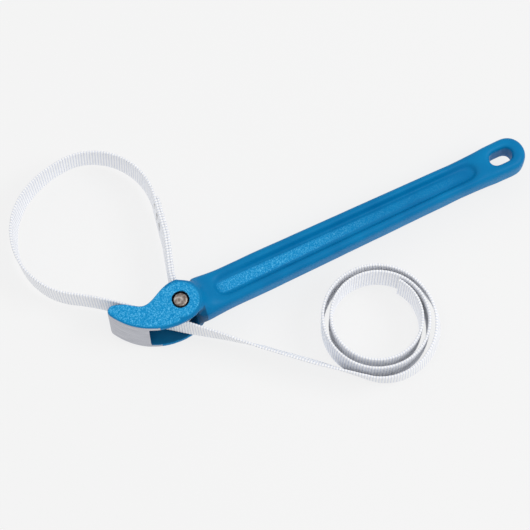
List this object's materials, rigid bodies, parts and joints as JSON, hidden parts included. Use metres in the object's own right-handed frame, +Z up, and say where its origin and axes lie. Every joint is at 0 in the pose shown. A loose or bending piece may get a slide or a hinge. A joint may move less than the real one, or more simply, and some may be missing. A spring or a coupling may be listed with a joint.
{
  "type": "strap wrench",
  "caption": "Strap wrench: a webbing strap loops from a pinned eye round the work, passes through a two-cheeked head and pulls tight against its curved nose; I-section handle.",
  "frame": {"origin": "centre of the bounding box in plan, at the height of the head's lower face", "axes": "X runs along the handle from the nose to the hanging end, Y from the handle toward the strap loop, Z up along the strap pin"},
  "size_m": [0.337, 0.2332, 0.038],
  "materials": {
    "paint": "satin",
    "pin_steel": "satin",
    "webbing": "matte",
    "thread": "matte"
  },
  "bodies": {
    "handle": {"handle": "paint", "strap_pin": "pin_steel", "strap_lead": "webbing"},
    "strap_eye": {"strap_eye": "webbing", "eye_stitching": "thread", "strap_loop": "webbing"},
    "strap_tail": {"strap_tail": "webbing", "strap_coil": "webbing"}
  },
  "joints": [
    {"name": "strap_swing", "type": "hinge", "parent": "handle", "child": "strap_eye", "pos_m": [-0.08522, -0.00956, 0.019], "axis": [0, 0, 1], "range_deg": [-15, 3], "deforming": ["strap_lead"]},
    {"name": "strap_pull", "type": "slide", "parent": "handle", "child": "strap_tail", "axis": [0.7314, -0.682, 0], "range_m": [0, 0.03], "deforming": ["strap_lead"]}
  ]
}
